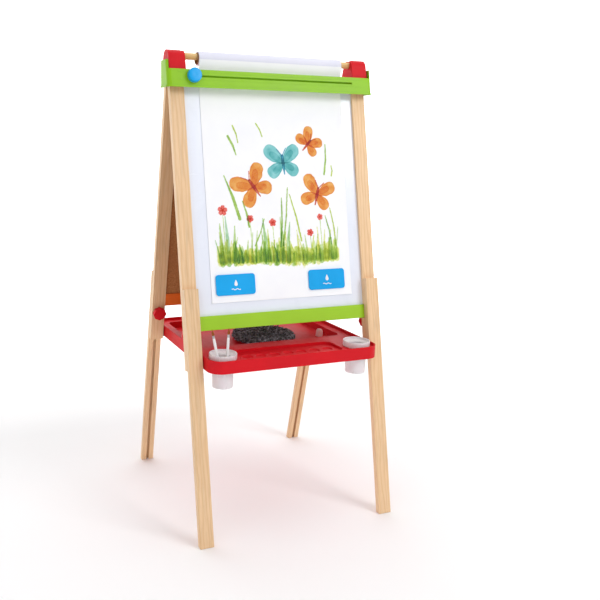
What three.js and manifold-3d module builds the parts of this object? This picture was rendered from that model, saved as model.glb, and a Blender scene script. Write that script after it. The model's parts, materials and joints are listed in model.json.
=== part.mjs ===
// A child's double-sided standing easel: two timber frames hinged at the top, a paper roll with a sliding
// cutter, four height-adjustable legs and a tray with paint pots. Millimetres, +Z up, front towards -Y,
// origin on the floor below the middle of the easel.
import * as THREE from "three";
import { mergeVertices } from "three/addons/utils/BufferGeometryUtils.js";
import Module from "manifold-3d";

const wasm = await Module();
wasm.setup();

// ---------- driving dimensions ----------
const overallHeight = 1062;
const frameWidth = 490; // over the two stiles of a frame
const lean = THREE.MathUtils.degToRad(12); // each frame from upright
const apexDrop = 51.5; // from the top down to the line where the frames' inner faces would meet
const fitGap = 0.3; // between pieces that touch
const slideGap = 0.5; // between pieces that slide on each other
const past = 1; // of a cut beyond the face that it opens

const stileWidth = 32.5;
const stileThickness = 14.5;
const stileLength = 651; // from the apex line down to a stile's lower end
const stileRise = 12; // of a front stile above the apex line
const legThickness = 13.5;
const legTopDown = 472; // from the apex line down to a leg's upper end

const boardThickness = 3.5;
const boardSetback = 4.5; // from the frame's inner face to the board's back
const grooveDepth = 5.3;
const railHeight = 32;
const frontRailDown = 534; // from the apex line down to the front bottom rail
const rearRailDown = 527;
const topRailDown = 4;
const topRailHeight = 28;

const boltDiameter = 6;
const boltHead = 12;
const boltHeadThickness = 4;
const slotLip = 3.5; // timber left over the wide part of a leg's groove
const knobDown = 575; // from the apex line down to the clamping knobs
const knobDiameter = 33;
const knobThickness = 12;
const knobBossDiameter = 20;
const knobBossHeight = 3;
const knobLobes = 8;
const knobLobeDepth = 1.4;
const knobBevel = 1.5;
const pinFromEnd = 22; // guide pin above a stile's lower end
const pinSeat = 10; // depth of a guide pin in its stile
const slotTopMargin = 40; // timber above the groove at a leg's upper end

const bracketWidth = 38.5;
const bracketWall = 2.2; // outer side wall
const bracketBottomRise = -17.5; // of the bracket's lower edge above the apex line
const bracketRound = 18.7; // radius of the bracket's top
const bracketFlare = THREE.MathUtils.degToRad(15.5); // of its two sloping faces
const hingePinDiameter = 5;
const hingeAlong = 8; // of the hinge pin below the apex line, along the rear stile
const hingeClearance = 0.8; // around the swinging stile's rounded end
const foldAllowance = THREE.MathUtils.degToRad(22); // that the bracket's cavity leaves for folding

const dowelDiameter = 14.5;
const dowelDrop = 12; // of its centre below the top
const dowelSeat = 7.5; // length held in each bracket
const coreBore = 22;
const coreWall = 1.3;
const rollDiameter = 30.5;
const paperWidth = 358;
const paperOffset = 4; // of the roll towards the right
const sheetThickness = 0.6;
const sheetBottomDown = 507;
const sheetBendDrop = 2; // of the sheet's bend below the top rail's upper edge
const coreProud = 2; // of the roll's core beyond the paper at each end

const cheekGap = 4.8; // between a hinge bracket and the header's cheek
const headerWall = 3;
const headerFace = 34.5; // from the frame's inner face out to the header's front face
const headerCorner = 10;
const headerBack = 9; // of the end cheeks behind the middle plane
const headerBottomDrop = 28.5; // below the apex line
const headerTopRise = 9.5; // of the front plate above the apex line
const earRise = 28.5; // of the end cheeks above the apex line
const earLength = 4.5;
const lipHeight = 3.5;
const lipProud = 1.6;
const slotEnd = 4.3; // beyond the cutter's stem at each end of its travel
const slotHeight = 4.4;
const slotDown = 11.7; // of the cutter slot below the apex line, along the frame
const standoffDiameter = 12;
const guideWall = 1.6; // of the strip behind the slot, along which the carriage slides
const guideRise = 10; // of the strip's upper edge above the slot's middle

const cutterKnobDiameter = 30.5;
const cutterKnobHeight = 12;
const cutterKnobDome = 3;
const cutterKnobEdge = 1; // bevel round the knob's back
const stemSeat = 8; // length of the cutter's stem inside its knob
const carriageLength = 26;
const carriageHeight = 16;
const carriageDepth = 9;
const bladeThickness = 0.8;
const bladeWidth = 14;
const bladeToPaper = 1; // from the blade's point to the paper

const magnetWidth = 96;
const magnetHeight = 47;
const magnetThickness = 3;
const magnetCorner = 7;
const magnetBevel = 0.8;
const magnetSpread = 116.5; // of each magnet's centre from the middle
const magnetDown = 468; // from the apex line down to the magnets' centres

const trayOverhang = 51; // beyond the front and rear legs' outer faces
const trayHeight = 28.5;
const trayAboveStiles = 7.5; // tray's underside above the stiles' lower ends
const trayWall = 2.5;
const trayCorner = 32;
const deckDrop = 6.5; // of the tray's deck below its rim
const basinMargin = 25;
const basinFront = 136; // of the basin behind the tray's front edge
const basinDepth = 16.5; // below the deck
const basinCorner = 18;
const paletteHalf = 128;
const paletteFront = 18;
const paletteLength = 78;
const paletteDepth = 6;
const paletteCorner = 20;
const wellDiameter = 27;
const wellDepth = 2.6;
const wellPitch = 34;
const wellCount = 7;
const ledgeThickness = 1.5;
const ledgeLength = 13;
const ledgeReach = 12;
const ledgeHeight = 20;

const cupInset = 41; // of each cup's centre from the tray's side
const cupSetback = 40; // and from its front edge
const cupTopDiameter = 50;
const cupBottomDiameter = 46;
const cupDepth = 63; // below the deck
const cupWall = 1.6;
const cupSides = 48; // of the round holes that the cups hang in
const cupFlangeDiameter = 60;
const cupFlange = 2;
const cupNeckHeight = 2.2;
const lidDiameter = 62;
const lidHeight = 11.5;
const lidWall = 2;
const lidHoleDiameter = 35;
const lidFunnelDepth = 9;

const brushDiameter = 6;
const brushFloorGap = 1.5;
const brushes = [
  { name: "left_brush", footX: 0.7, topX: -26.9 },
  { name: "right_brush", footX: 7.4, topX: 13 },
]; // where each brush's two ends are, across the cup
const brushRise = 70.5; // of the brushes' tips above the deck
const bristleLength = 16;
const bristlePoint = 2; // length of the bristles' rounded end
const brushEdge = 1; // bevel round a handle's end

const dusterX = 13;
const dusterFromBasin = 82; // its centre behind the basin's front edge
const dusterDiameter = 160;
const dusterThickness = 36;
const dusterDome = 12;
const dusterEdge = 7; // rounding of its rim
const chalkX = 160;
const chalkFromBasin = 60;
const chalkDiameter = 18;
const chalkHeight = 19;
const chalkTaper = 1; // of its radius towards the worn end

// ---------- derived values ----------
const apexHeight = overallHeight - apexDrop;
const halfWidth = frameWidth / 2;
const stileInner = halfWidth - stileWidth;
const stileMiddle = halfWidth - stileWidth / 2;
const legInnerFace = stileThickness + fitGap;
const legOuterFace = legInnerFace + legThickness;
const boardFront = boardSetback + boardThickness;
const grooveOuter = stileInner + grooveDepth + fitGap;
const dowelRadius = dowelDiameter / 2;
const dowelHeight = overallHeight - dowelDrop;
const bracketOuterX = halfWidth + fitGap + bracketWall;
const bracketInnerX = bracketOuterX - bracketWidth;
const bracketTopCentre = overallHeight - bracketRound;
const coreRadius = coreBore / 2 + coreWall;
const rollRadius = rollDiameter / 2;
const rollHeight = dowelHeight + dowelRadius + fitGap - coreBore / 2;
const trayHalf = stileInner - ledgeThickness - 2 * slideGap;
const trayBottom = apexHeight - stileLength * Math.cos(lean) + trayAboveStiles;
const rimHeight = trayBottom + trayHeight;
const deckHeight = rimHeight - deckDrop;
const legReachAtRim = (apexHeight - rimHeight) * Math.tan(lean) + legOuterFace / Math.cos(lean);
const trayHalfDepth = legReachAtRim + trayOverhang;
const basinFrontY = basinFront - trayHalfDepth;
const basinFloor = deckHeight - basinDepth;
const cupX = trayHalf - cupInset;
const cupY = cupSetback - trayHalfDepth;
const hingeY = (stileThickness / 2) * Math.cos(lean) + hingeAlong * Math.sin(lean);
const hingeHeight = apexHeight + (stileThickness / 2) * Math.sin(lean) - hingeAlong * Math.cos(lean);
const headerHalf = bracketOuterX + cheekGap + headerWall;
const pinDiameter = boltDiameter; // both run in the mouth of a leg's groove
const cutterX = carriageLength / 2 + 2 * slideGap - bracketInnerX;
const cutterBack = headerFace - headerWall - slideGap; // of the carriage against the header
const stemRadius = slotHeight / 2 - slideGap;
const slotHalf = stemRadius + slotEnd - cutterX;
const knobTip = fitGap + knobBossHeight + knobThickness;
const paperFront = boardFront + fitGap + sheetThickness;
const front = new THREE.Matrix4().makeRotationX(-lean).setPosition(0, 0, apexHeight);

// ---------- materials ----------
function finish(color, roughness, metalness = 0) {
  return new THREE.MeshStandardMaterial({ color, roughness, metalness });
}
const finishes = {
  timber: finish(0xe8c79a, 0.6),
  dowelTimber: finish(0xe9c98e, 0.6),
  green: finish(0x9ccc33, 0.5),
  orange: finish(0xd9682a, 0.5),
  red: finish(0xdc1f30, 0.35),
  blue: finish(0x0fa8ee, 0.35),
  whiteBoard: finish(0xf3f4fa, 0.25),
  slate: finish(0x23282a, 0.85),
  paper: finish(0xfbfbfd, 0.8),
  card: finish(0xa98256, 0.85),
  steel: finish(0xb9bcc0, 0.3, 1),
  clear: finish(0xf2e6ea, 0.15),
  brushWhite: finish(0xf5f2f0, 0.35),
  bristle: finish(0xd98a4a, 0.8),
  dusterPile: finish(0x2b2b31, 0.95),
  chalk: finish(0xf0b9c4, 0.9),
};

// ---------- solids ----------
// A closed three.js geometry as a manifold solid.
function solidOf(geometry) {
  const bare = geometry.clone();
  bare.deleteAttribute("normal");
  bare.deleteAttribute("uv");
  const merged = mergeVertices(bare, 1e-4);
  return new wasm.Manifold(
    new wasm.Mesh({
      numProp: 3,
      vertProperties: new Float32Array(merged.attributes.position.array),
      triVerts: new Uint32Array(merged.index.array),
    }),
  );
}

function geometryOf(solid) {
  const made = solid.getMesh();
  const geometry = new THREE.BufferGeometry();
  geometry.setAttribute("position", new THREE.BufferAttribute(new Float32Array(made.vertProperties), 3));
  geometry.setIndex(new THREE.BufferAttribute(new Uint32Array(made.triVerts), 1));
  geometry.computeVertexNormals();
  return geometry;
}

function join(first, ...others) {
  return geometryOf(others.reduce((sum, other) => sum.add(solidOf(other)), solidOf(first)));
}

function cut(first, ...tools) {
  return geometryOf(tools.reduce((left, tool) => left.subtract(solidOf(tool)), solidOf(first)));
}

function common(first, second) {
  return geometryOf(solidOf(first).intersect(solidOf(second)));
}

function box([x0, x1], [y0, y1], [z0, z1]) {
  const geometry = new THREE.BoxGeometry(x1 - x0, y1 - y0, z1 - z0);
  return geometry.translate((x0 + x1) / 2, (y0 + y1) / 2, (z0 + z1) / 2);
}

// A prism whose outline is drawn in Y and Z, from x0 to x1.
function prismAcross(shape, [x0, x1], bevel = 0) {
  const geometry = extrude(shape, x1 - x0, bevel);
  const toAcross = new THREE.Matrix4().makeBasis(
    new THREE.Vector3(0, 1, 0),
    new THREE.Vector3(0, 0, 1),
    new THREE.Vector3(1, 0, 0),
  );
  return geometry.applyMatrix4(toAcross).translate(x0, 0, 0);
}

// A prism whose outline is drawn in X and Y, from z0 to z1.
function prismUp(shape, [z0, z1], bevel = 0) {
  return extrude(shape, z1 - z0, bevel).translate(0, 0, z0);
}

function extrude(shape, depth, bevel) {
  const geometry = new THREE.ExtrudeGeometry(shape, {
    depth: depth - 2 * bevel,
    bevelEnabled: bevel > 0,
    bevelThickness: bevel,
    bevelSize: bevel,
    bevelOffset: -bevel,
    bevelSegments: 2,
    curveSegments: 6,
  });
  return geometry.translate(0, 0, bevel);
}

function polygon(points) {
  return new THREE.Shape(points.map(([a, b]) => new THREE.Vector2(a, b)));
}

function roundedRectangle([x0, x1], [y0, y1], radius) {
  const shape = new THREE.Shape();
  shape.moveTo(x0 + radius, y0);
  shape.lineTo(x1 - radius, y0);
  shape.absarc(x1 - radius, y0 + radius, radius, -Math.PI / 2, 0);
  shape.lineTo(x1, y1 - radius);
  shape.absarc(x1 - radius, y1 - radius, radius, 0, Math.PI / 2);
  shape.lineTo(x0 + radius, y1);
  shape.absarc(x0 + radius, y1 - radius, radius, Math.PI / 2, Math.PI);
  shape.lineTo(x0, y0 + radius);
  shape.absarc(x0 + radius, y0 + radius, radius, Math.PI, 1.5 * Math.PI);
  return shape;
}

// A round bar from x0 to x1, with its centre line at y and z.
function barAcross(radius, [x0, x1], y, z, sides = 24) {
  return new THREE.CylinderGeometry(radius, radius, x1 - x0, sides)
    .rotateZ(-Math.PI / 2)
    .translate((x0 + x1) / 2, y, z);
}

// A round bar from y0 to y1, with its centre line at x and z.
function barThrough(radius, [y0, y1], x, z, sides = 24) {
  return new THREE.CylinderGeometry(radius, radius, y1 - y0, sides).translate(x, (y0 + y1) / 2, z);
}

// A turned body about a vertical line, from its outline of [radius, height] points, anticlockwise.
function turned(outline, sides = 32) {
  const points = outline.map(([r, z]) => new THREE.Vector2(r, z));
  return new THREE.LatheGeometry(points, sides).rotateX(Math.PI / 2);
}

function piece(name, geometry, material) {
  const mesh = new THREE.Mesh(geometry, material.clone());
  mesh.name = name;
  return mesh;
}

// A range mirrored to the side that sign names.
function sided(sign, from, to) {
  return sign > 0 ? [from, to] : [-to, -from];
}

// ---------- one timber frame ----------
// In its own tilted axes: outer face towards -Y, inner face at Y = 0.
function stile(sign, isRear, boardBottom, boardTop) {
  const across = sided(sign, stileInner, halfWidth);
  const outline = new THREE.Shape();
  outline.moveTo(-stileThickness, -stileLength);
  outline.lineTo(0, -stileLength);
  if (isRear) {
    outline.lineTo(0, -hingeAlong);
    outline.absarc(-stileThickness / 2, -hingeAlong, stileThickness / 2, 0, Math.PI);
  } else {
    outline.lineTo(0, stileRise);
    outline.lineTo(-stileThickness, stileRise);
  }
  outline.lineTo(-stileThickness, -stileLength);
  const middle = sign * stileMiddle;
  const tools = [
    box(
      sided(sign, stileInner - past, grooveOuter),
      [-boardFront - fitGap, -boardSetback + fitGap],
      [boardBottom - fitGap, boardTop + fitGap],
    ),
    barThrough(boltDiameter / 2 + fitGap, [-stileThickness - past, past], middle, -knobDown),
    barThrough(
      pinDiameter / 2 + fitGap,
      [-stileThickness - past, -stileThickness + pinSeat + fitGap],
      middle,
      pinFromEnd - stileLength,
    ),
  ];
  if (isRear)
    tools.push(
      barAcross(
        hingePinDiameter / 2 + fitGap,
        sided(sign, stileInner - past, halfWidth + past),
        -stileThickness / 2,
        -hingeAlong,
      ),
    );
  return cut(prismAcross(outline, across), ...tools);
}

function leg(sign) {
  const footOf = (out) => -(apexHeight + out * Math.sin(lean)) / Math.cos(lean);
  const outline = polygon([
    [-legOuterFace, footOf(legOuterFace)],
    [-legInnerFace, footOf(legInnerFace)],
    [-legInnerFace, -legTopDown],
    [-legOuterFace, -legTopDown],
  ]);
  const along = [footOf(legOuterFace) - past, -legTopDown - slotTopMargin];
  const mouth = boltDiameter / 2 + slideGap;
  const chamber = boltHead / 2 + slideGap;
  const chamberFront = legInnerFace + slotLip + boltHeadThickness + 2 * slideGap;
  const middle = sign * stileMiddle;
  return cut(
    prismAcross(outline, sided(sign, stileInner, halfWidth)),
    box([middle - mouth, middle + mouth], [-chamberFront + past, -legInnerFace + past], along),
    box([middle - chamber, middle + chamber], [-chamberFront, -legInnerFace - slotLip], along),
  );
}

function clampBolt(sign) {
  const middle = sign * stileMiddle;
  const headBack = legInnerFace + slotLip + slideGap;
  const head = box(
    [middle - boltHead / 2, middle + boltHead / 2],
    [-headBack - boltHeadThickness, -headBack],
    [-knobDown - boltHead / 2, -knobDown + boltHead / 2],
  );
  const shank = [-headBack - boltHeadThickness / 2, knobTip - knobBossHeight];
  return join(head, barThrough(boltDiameter / 2, shank, middle, -knobDown));
}

function clampKnob(sign) {
  const outline = new THREE.Shape();
  const steps = knobLobes * 6;
  for (let i = 0; i < steps; i++) {
    const turn = (2 * Math.PI * i) / steps;
    const r = knobDiameter / 2 - (knobLobeDepth / 2) * (1 - Math.cos(knobLobes * turn));
    outline[i ? "lineTo" : "moveTo"](r * Math.cos(turn), r * Math.sin(turn));
  }
  const middle = sign * stileMiddle;
  const head = prismUp(outline, [fitGap + knobBossHeight, knobTip], knobBevel)
    .rotateX(-Math.PI / 2)
    .translate(middle, 0, -knobDown);
  const boss = barThrough(knobBossDiameter / 2, [fitGap, knobTip - knobThickness / 2], middle, -knobDown);
  const bore = [0, knobTip - knobBossHeight + fitGap];
  return cut(join(head, boss), barThrough(boltDiameter / 2 + fitGap, bore, middle, -knobDown));
}

function guidePin(sign) {
  return barThrough(
    pinDiameter / 2,
    [-legInnerFace - slotLip, -stileThickness + pinSeat],
    sign * stileMiddle,
    pinFromEnd - stileLength,
  );
}

function bottomRail(down) {
  const half = stileInner - fitGap;
  return cut(
    box([-half, half], [-stileThickness, 0], [-down - railHeight, -down]),
    box(
      [-half - past, half + past],
      [-boardFront - fitGap, -boardSetback + fitGap],
      [-down - grooveDepth - fitGap, -down + past],
    ),
  );
}

// A top rail runs between the hinge brackets. The front one is level with the board, so that the paper
// runs over both.
function topRail(isRear) {
  const half = bracketInnerX - fitGap;
  const lower = -topRailDown - topRailHeight;
  const depth = isRear ? stileThickness : boardFront;
  return cut(
    box([-half, half], [-depth, 0], [lower, -topRailDown]),
    box(
      [-half - past, half + past],
      [-boardFront - fitGap, -boardSetback + fitGap],
      [lower - past, lower + grooveDepth + fitGap],
    ),
  );
}

function buildFrame(side) {
  const isRear = side === "rear";
  const railDown = isRear ? rearRailDown : frontRailDown;
  const boardBottom = -railDown - grooveDepth;
  const boardTop = -topRailDown - topRailHeight + grooveDepth;
  const boardHalf = stileInner + grooveDepth;
  const tilted = new THREE.Group();
  tilted.rotation.x = -lean;
  tilted.position.z = apexHeight;
  for (const sign of [-1, 1]) {
    const hand = side + ((sign < 0) !== isRear ? "_left" : "_right");
    tilted.add(
      piece(hand + "_stile", stile(sign, isRear, boardBottom, boardTop), finishes.timber),
      piece(hand + "_leg", leg(sign), finishes.timber),
      piece(hand + "_clamp_bolt", clampBolt(sign), finishes.steel),
      piece(hand + "_clamp_knob", clampKnob(sign), finishes.red),
      piece(hand + "_guide_pin", guidePin(sign), finishes.steel),
    );
  }
  tilted.add(
    piece(side + "_bottom_rail", bottomRail(railDown), isRear ? finishes.orange : finishes.green),
    piece(side + "_top_rail", topRail(isRear), isRear ? finishes.orange : finishes.timber),
    piece(
      isRear ? "chalkboard" : "whiteboard",
      box([-boardHalf, boardHalf], [-boardFront, -boardSetback], [boardBottom, boardTop]),
      isRear ? finishes.slate : finishes.whiteBoard,
    ),
  );
  return tilted;
}

// ---------- paper, magnets and cutter, in the front frame's axes ----------
// The sheet leaves the roll at a tangent, passes over the top rail and lies on the board.
function paperSheet() {
  const clear = rollRadius + fitGap;
  const bend = new THREE.Vector3(0, -boardFront - fitGap, -topRailDown - sheetBendDrop);
  const bendPlace = bend.clone().applyMatrix4(front);
  const toBend = new THREE.Vector2(bendPlace.y, bendPlace.z - rollHeight);
  const leave = toBend.angle() - Math.acos(clear / toBend.length());
  const start = new THREE.Vector3(0, clear * Math.cos(leave), rollHeight + clear * Math.sin(leave));
  start.applyMatrix4(front.clone().invert());
  const back = [
    [start.y, start.z],
    [bend.y, bend.z],
    [bend.y, -sheetBottomDown],
  ];
  const face = back.map(([y, z]) => [y - sheetThickness, z]).reverse();
  const across = [paperOffset - paperWidth / 2, paperOffset + paperWidth / 2];
  return prismAcross(polygon([...back, ...face].reverse()), across);
}

function magnet(sign) {
  const x = sign * magnetSpread;
  const outline = roundedRectangle(
    [x - magnetWidth / 2, x + magnetWidth / 2],
    [-magnetDown - magnetHeight / 2, -magnetDown + magnetHeight / 2],
    magnetCorner,
  );
  return prismUp(outline, [0, magnetThickness], magnetBevel)
    .rotateX(Math.PI / 2)
    .translate(0, -paperFront - fitGap, 0);
}

function cutterCarriage() {
  const block = box(
    [cutterX - carriageLength / 2, cutterX + carriageLength / 2],
    [-cutterBack, -cutterBack + carriageDepth],
    [-slotDown - carriageHeight / 2, -slotDown + carriageHeight / 2],
  );
  const stem = [-headerFace - slideGap - stemSeat, -cutterBack + carriageDepth / 2];
  return join(block, barThrough(stemRadius, stem, cutterX, -slotDown, 16));
}

function cutterKnob() {
  const radius = cutterKnobDiameter / 2;
  const body = turned([
    [0, 0],
    [radius - cutterKnobEdge, 0],
    [radius, cutterKnobEdge],
    [radius, cutterKnobHeight - cutterKnobDome],
    [radius - 0.4 * cutterKnobDome, cutterKnobHeight - 0.4 * cutterKnobDome],
    [radius - 1.3 * cutterKnobDome, cutterKnobHeight - 0.13 * cutterKnobDome],
    [0, cutterKnobHeight],
  ]);
  body.rotateX(Math.PI / 2).translate(cutterX, -headerFace - slideGap, -slotDown);
  const bore = [-headerFace - slideGap - stemSeat - fitGap, -headerFace];
  return cut(body, barThrough(stemRadius + fitGap, bore, cutterX, -slotDown, 16));
}

function cutterBlade() {
  const root = -cutterBack + carriageDepth + fitGap;
  const outline = polygon([
    [cutterX - bladeWidth / 2, root],
    [cutterX, -paperFront - bladeToPaper],
    [cutterX + bladeWidth / 2, root],
  ].reverse());
  return prismUp(outline, [-slotDown - bladeThickness / 2, -slotDown + bladeThickness / 2]);
}

// ---------- header, hinge brackets and roll, in the easel's own axes ----------
// The header's plan: a front plate with rounded corners running back into two cheeks.
function headerPlan(proud) {
  const half = headerHalf + proud;
  const face = headerFace + proud;
  const reach = 2 * headerFace;
  const outer = headerCorner + proud;
  const inner = headerCorner - headerWall;
  const plan = new THREE.Shape();
  plan.moveTo(headerWall - headerHalf, reach);
  plan.lineTo(-half, reach);
  plan.absarc(-half + outer, -face + outer, outer, Math.PI, 1.5 * Math.PI);
  plan.absarc(half - outer, -face + outer, outer, 1.5 * Math.PI, 2 * Math.PI);
  plan.lineTo(half, reach);
  plan.lineTo(headerHalf - headerWall, reach);
  plan.absarc(headerHalf - headerCorner, -headerFace + headerCorner, inner, 0, -Math.PI / 2, true);
  plan.absarc(-headerHalf + headerCorner, -headerFace + headerCorner, inner, -Math.PI / 2, -Math.PI, true);
  return prismUp(plan, [-2 * headerFace, 2 * headerFace]).applyMatrix4(front);
}

function header() {
  const far = 2 * headerHalf;
  const low = apexHeight - headerBottomDrop;
  const high = apexHeight + earRise;
  const depth = [-far, headerBack];
  const shell = common(headerPlan(0), box([-far, far], depth, [low, high]));
  const lip = common(headerPlan(lipProud), box([-far, far], depth, [low, low + lipHeight]));
  const plateTop = apexHeight + headerTopRise;
  const middle = headerHalf - earLength;
  const slot = box(
    [-slotHalf, slotHalf],
    [-headerFace - 2 * lipProud, -headerFace + 2 * headerWall],
    [-slotDown - slotHeight / 2, -slotDown + slotHeight / 2],
  ).applyMatrix4(front);
  const standoffs = [-1, 1].map((sign) =>
    barAcross(
      standoffDiameter / 2,
      sided(sign, bracketOuterX + fitGap, headerHalf - headerWall / 2),
      -standoffDiameter / 2,
      apexHeight,
      20,
    ),
  );
  const open = box([-middle, middle], [-far, far], [plateTop, high + past]);
  return cut(join(shell, lip, ...standoffs), open, slot);
}

// A strip fixed between the brackets, behind the carriage and above its blade, that keeps both in line.
function cutterGuide() {
  const half = bracketInnerX - fitGap;
  const back = -cutterBack + carriageDepth + slideGap;
  const bladeSpace = bladeThickness / 2 + slideGap;
  return box(
    [-half, half],
    [back, back + guideWall],
    [bladeSpace - slotDown, guideRise - slotDown],
  ).applyMatrix4(front);
}

function bracketOutline() {
  const bottom = apexHeight + bracketBottomRise;
  const drop = bracketTopCentre - bottom;
  const half = (bracketRound + drop * Math.sin(bracketFlare)) / Math.cos(bracketFlare);
  const outline = new THREE.Shape();
  outline.moveTo(-half, bottom);
  outline.lineTo(half, bottom);
  outline.absarc(0, bracketTopCentre, bracketRound, bracketFlare, Math.PI - bracketFlare);
  return outline;
}

// The space in which a rear stile's rounded end swings, open at the bottom.
function swingOutline() {
  const radius = stileThickness / 2 + hingeClearance;
  const inward = lean - foldAllowance;
  const reach = 2 * stileThickness + hingeAlong;
  const beside = (angle, offset) => [
    hingeY + offset * Math.cos(angle) + reach * Math.sin(angle),
    hingeHeight + offset * Math.sin(angle) - reach * Math.cos(angle),
  ];
  const outline = new THREE.Shape();
  outline.moveTo(...beside(inward, -radius));
  outline.lineTo(...beside(lean, radius));
  outline.absarc(hingeY, hingeHeight, radius, lean, Math.PI + inward);
  return outline;
}

function hingeBracket(sign) {
  const stileSpace = sided(sign, stileInner - fitGap, halfWidth + fitGap);
  const pocket = box(
    stileSpace,
    [-stileThickness - fitGap, fitGap],
    [-stileLength / 4, stileRise + fitGap],
  ).applyMatrix4(front);
  const through = sided(sign, bracketInnerX - past, bracketOuterX + past);
  const seat = sided(sign, bracketInnerX - past, bracketInnerX + dowelSeat + fitGap);
  const seatRadius = dowelRadius + fitGap;
  return cut(
    prismAcross(bracketOutline(), sided(sign, bracketInnerX, bracketOuterX)),
    pocket,
    prismAcross(swingOutline(), stileSpace),
    barAcross(hingePinDiameter / 2 + fitGap, through, hingeY, hingeHeight),
    barAcross(seatRadius, seat, 0, dowelHeight),
    box(seat, [-seatRadius, seatRadius], [dowelHeight, overallHeight + past]),
  );
}

function hollowBar(innerRadius, outerRadius, [x0, x1], z) {
  const bore = barAcross(innerRadius, [x0 - past, x1 + past], 0, z, 32);
  return cut(barAcross(outerRadius, [x0, x1], 0, z, 32), bore);
}

function buildTop() {
  const top = new THREE.Group();
  top.add(piece("cutter_header", header(), finishes.green), piece("cutter_guide", cutterGuide(), finishes.green));
  for (const sign of [-1, 1]) {
    const hand = sign < 0 ? "left" : "right";
    const pinSpan = sided(sign, bracketInnerX + slideGap, bracketOuterX - slideGap);
    const pin = barAcross(hingePinDiameter / 2, pinSpan, hingeY, hingeHeight);
    top.add(
      piece(hand + "_hinge_bracket", hingeBracket(sign), finishes.red),
      piece(hand + "_hinge_pin", pin, finishes.steel),
    );
  }
  const dowelHalf = bracketInnerX + dowelSeat - fitGap;
  const paperHalf = paperWidth / 2;
  const rollSpan = [paperOffset - paperHalf, paperOffset + paperHalf];
  const coreSpan = [rollSpan[0] - coreProud, rollSpan[1] + coreProud];
  const dowel = barAcross(dowelRadius, [-dowelHalf, dowelHalf], 0, dowelHeight);
  const core = hollowBar(coreBore / 2, coreRadius, coreSpan, rollHeight);
  const paper = hollowBar(coreRadius + fitGap, rollRadius, rollSpan, rollHeight);
  top.add(
    piece("roll_dowel", dowel, finishes.dowelTimber),
    piece("roll_core", core, finishes.card),
    piece("paper_roll", paper, finishes.paper),
  );
  return top;
}

// ---------- tray and what stands in it ----------
function traySlab(half, [y0, y1], corner, grow, heights) {
  const across = [-half - grow, half + grow];
  return prismUp(roundedRectangle(across, [y0 - grow, y1 + grow], corner + grow), heights);
}

function tray() {
  const whole = [-trayHalfDepth, trayHalfDepth];
  const basinSpan = [basinFrontY, trayHalfDepth - basinMargin];
  const paletteSpan = [paletteFront - trayHalfDepth, paletteFront + paletteLength - trayHalfDepth];
  const basin = (grow, heights) => traySlab(trayHalf - basinMargin, basinSpan, basinCorner, grow, heights);
  const palette = (grow, heights) => traySlab(paletteHalf, paletteSpan, paletteCorner, grow, heights);
  const paletteFloor = deckHeight - paletteDepth;
  const paletteMiddle = (paletteSpan[0] + paletteSpan[1]) / 2;
  const wellMiddle = paletteFloor + (past - wellDepth) / 2;
  const wells = Array.from({ length: wellCount }, (_, i) =>
    new THREE.CylinderGeometry(wellDiameter / 2, wellDiameter / 2 - wellDepth, wellDepth + past, 24)
      .rotateX(Math.PI / 2)
      .translate(wellPitch * (i - (wellCount - 1) / 2), paletteMiddle, wellMiddle),
  );
  const under = cut(
    traySlab(trayHalf, whole, trayCorner, -trayWall, [trayBottom - past, deckHeight - trayWall]),
    basin(trayWall, [basinFloor - trayWall, deckHeight]),
    palette(trayWall, [paletteFloor - wellDepth - trayWall, deckHeight]),
  );
  const cupHole = cupTopDiameter / 2 + slideGap;
  const cupHoles = [-1, 1].map((sign) =>
    new THREE.CylinderGeometry(cupHole, cupHole, 2 * trayHeight, cupSides)
      .rotateX(Math.PI / 2)
      .translate(sign * cupX, cupY, deckHeight),
  );
  return cut(
    traySlab(trayHalf, whole, trayCorner, 0, [trayBottom, rimHeight]),
    traySlab(trayHalf, whole, trayCorner, -trayWall, [deckHeight, rimHeight + past]),
    under,
    basin(0, [basinFloor, deckHeight + past]),
    palette(0, [paletteFloor, deckHeight + past]),
    ...wells,
    ...cupHoles,
  );
}

function cupBody() {
  const top = cupTopDiameter / 2;
  const bottom = cupBottomDiameter / 2;
  const flangeTop = fitGap + cupFlange;
  return turned([
    [0, -cupDepth],
    [bottom, -cupDepth],
    [top, 0],
    [top, fitGap],
    [cupFlangeDiameter / 2, fitGap],
    [cupFlangeDiameter / 2, flangeTop],
    [top, flangeTop],
    [top, flangeTop + cupNeckHeight],
    [top - cupWall, flangeTop + cupNeckHeight],
    [top - cupWall, 0],
    [bottom - cupWall, cupWall - cupDepth],
    [0, cupWall - cupDepth],
  ]);
}

// The spill-proof lid: a wide collar round a funnel that reaches into the cup.
function cupLid() {
  const low = 2 * fitGap + cupFlange;
  const shelf = low + cupNeckHeight;
  const neck = cupTopDiameter / 2 + fitGap;
  const outer = lidDiameter / 2;
  const hole = lidHoleDiameter / 2;
  const outline = [
    [neck, low],
    [outer, low],
    [outer, low + lidHeight],
    [outer - lidWall, low + lidHeight],
    [outer - lidWall, shelf + 2 * lidWall],
    [hole, shelf + lidWall],
    [hole, -lidFunnelDepth],
    [hole + lidWall, -lidFunnelDepth],
    [hole + lidWall, shelf],
    [neck, shelf],
    [neck, low],
  ];
  return turned(outline);
}

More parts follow.
